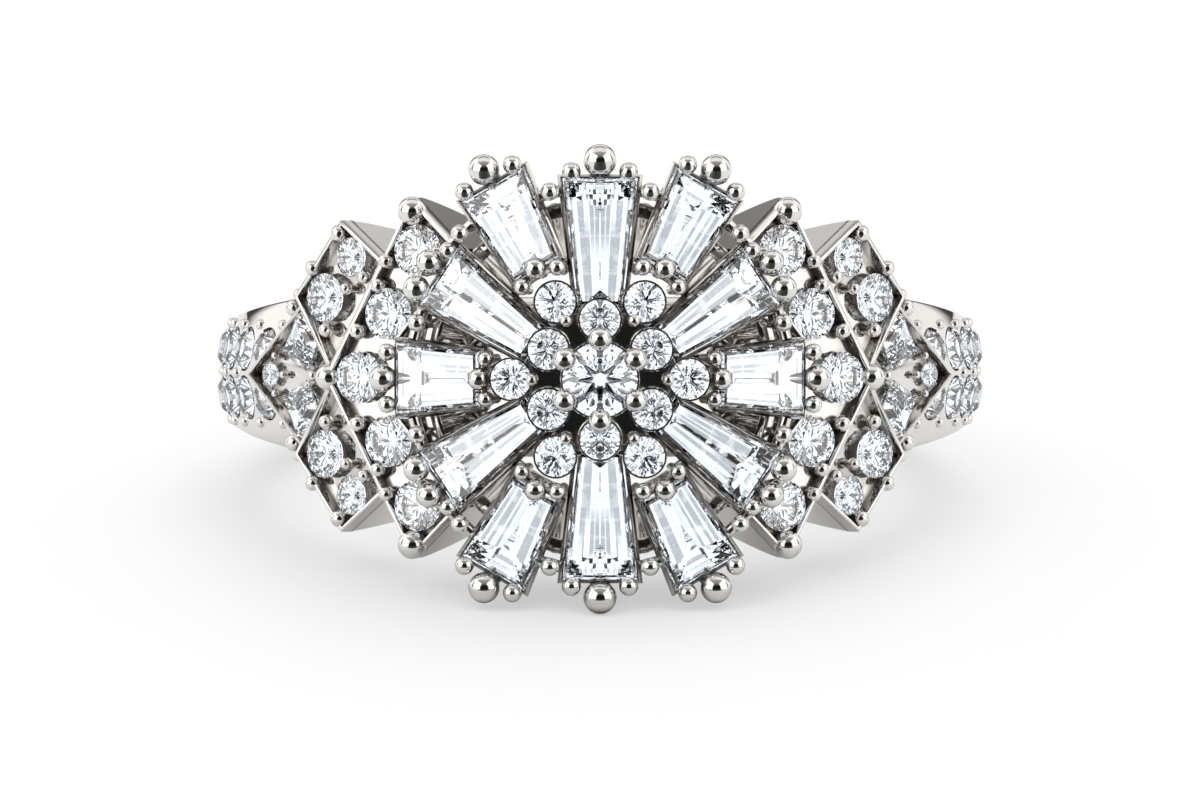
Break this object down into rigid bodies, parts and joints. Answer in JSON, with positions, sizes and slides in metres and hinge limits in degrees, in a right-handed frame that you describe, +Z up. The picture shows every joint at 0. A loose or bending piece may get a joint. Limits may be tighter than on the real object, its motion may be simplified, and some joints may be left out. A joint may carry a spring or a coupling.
{
  "type": "statement ring",
  "caption": "Wide finger ring with a domed burst of tapered baguettes round a brilliant cluster, chevron shoulder plates, ball prongs and a pave shank, lying on its side.",
  "frame": {"origin": "middle of the ring's footprint as it lies on its side, on the surface it rests on", "axes": "the burst faces -Y and a little up, the back of the shank is at +Y, +X is the burst's right side, +Z is up"},
  "size_m": [0.0216, 0.0248, 0.0122],
  "materials": {
    "white_metal": "mirror polish",
    "clear_stone": "clear, colourless, faceted"
  },
  "bodies": {
    "root": {"ring_mount": "white_metal", "centre_stone": "clear_stone", "inner_round_1": "clear_stone", "inner_round_2": "clear_stone", "inner_round_3": "clear_stone", "inner_round_4": "clear_stone", "inner_round_5": "clear_stone", "inner_round_6": "clear_stone", "outer_round_1": "clear_stone", "outer_round_2": "clear_stone", "outer_round_3": "clear_stone", "outer_round_4": "clear_stone", "outer_round_5": "clear_stone", "outer_round_6": "clear_stone", "baguette_1": "clear_stone", "baguette_2": "clear_stone", "baguette_3": "clear_stone", "baguette_4": "clear_stone", "baguette_5": "clear_stone", "baguette_6": "clear_stone", "baguette_7": "clear_stone", "baguette_8": "clear_stone", "baguette_9": "clear_stone", "baguette_10": "clear_stone", "baguette_11": "clear_stone", "baguette_12": "clear_stone", "chevron_round_1": "clear_stone", "chevron_round_2": "clear_stone", "chevron_round_3": "clear_stone", "chevron_round_4": "clear_stone", "chevron_round_5": "clear_stone", "chevron_round_6": "clear_stone", "chevron_round_7": "clear_stone", "chevron_round_8": "clear_stone", "chevron_round_9": "clear_stone", "chevron_round_10": "clear_stone", "plate_stones_left": "clear_stone", "plate_stones_right": "clear_stone", "kite_stones_left": "clear_stone", "kite_stones_right": "clear_stone", "pave_left": "clear_stone", "pave_right": "clear_stone"}
  },
  "joints": []
}
